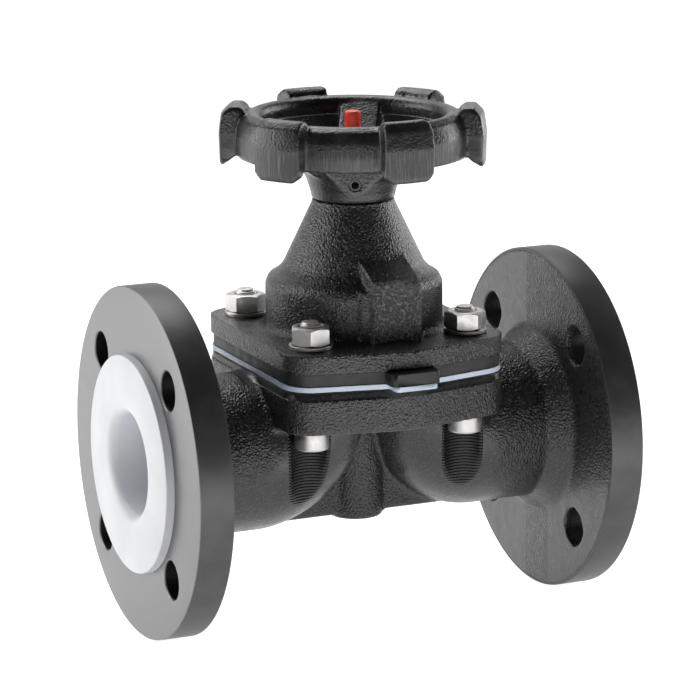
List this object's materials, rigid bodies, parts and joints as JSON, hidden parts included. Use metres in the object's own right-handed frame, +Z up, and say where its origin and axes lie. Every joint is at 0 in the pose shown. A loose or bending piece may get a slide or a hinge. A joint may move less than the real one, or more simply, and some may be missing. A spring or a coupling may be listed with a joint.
{
  "type": "diaphragm valve",
  "caption": "Lined weir-type diaphragm valve with flanged ends, bolted bonnet, non-rising handwheel and a position indicator that follows the stem.",
  "frame": {"origin": "centre of the inlet sealing face, on the pipe axis", "axes": "+X along the pipe from inlet to outlet, +Z up along the stem, +Y away from the tab side"},
  "size_m": [0.23, 0.165, 0.2427],
  "materials": {
    "coated_iron": "black coated ductile iron casting, satin",
    "wheel_iron": "black coated casting with fettled lobes",
    "machined_iron": "bare cast iron, machined",
    "white_liner": "white fluoropolymer, satin",
    "ptfe_face": "bluish white fluoropolymer, satin",
    "black_rubber": "moulded black rubber",
    "stainless": "cold-headed stainless steel",
    "turned_steel": "turned steel",
    "spring_steel": "dark spring steel",
    "bronze": "turned bronze",
    "thrust_plastic": "natural thrust washer plastic",
    "red_plastic": "red moulded plastic"
  },
  "bodies": {
    "valve": {"valve_body": "coated_iron", "body_liner": "white_liner", "diaphragm_face": "ptfe_face", "diaphragm_backing": "black_rubber", "bonnet": "coated_iron", "upper_thrust_washer": "thrust_plastic", "lower_thrust_washer": "thrust_plastic", "bush_retaining_ring": "spring_steel", "bush_o_ring": "black_rubber", "cap_screws": "stainless", "hex_nuts": "stainless", "washers": "stainless"},
    "handwheel": {"handwheel": "wheel_iron", "handwheel_pin": "spring_steel", "threaded_bush": "bronze", "spindle_o_ring": "black_rubber"},
    "stem": {"spindle": "turned_steel", "compressor": "machined_iron", "compressor_pin": "stainless", "diaphragm_stud": "stainless", "position_indicator": "red_plastic"}
  },
  "joints": [
    {"name": "handwheel_turn", "type": "hinge", "parent": "valve", "child": "handwheel", "pos_m": [0.115, 0, 0.1], "axis": [0, 0, 1], "range_deg": [-1800, 0]},
    {"name": "stem_lift", "type": "slide", "parent": "valve", "child": "stem", "axis": [0, 0, 1], "range_m": [-0.02, 0], "deforming": ["diaphragm_face", "diaphragm_backing"]}
  ],
  "couplings": [
    {"joint": "stem_lift", "follows": "handwheel_turn", "m_per_rad": 0.00063662}
  ]
}
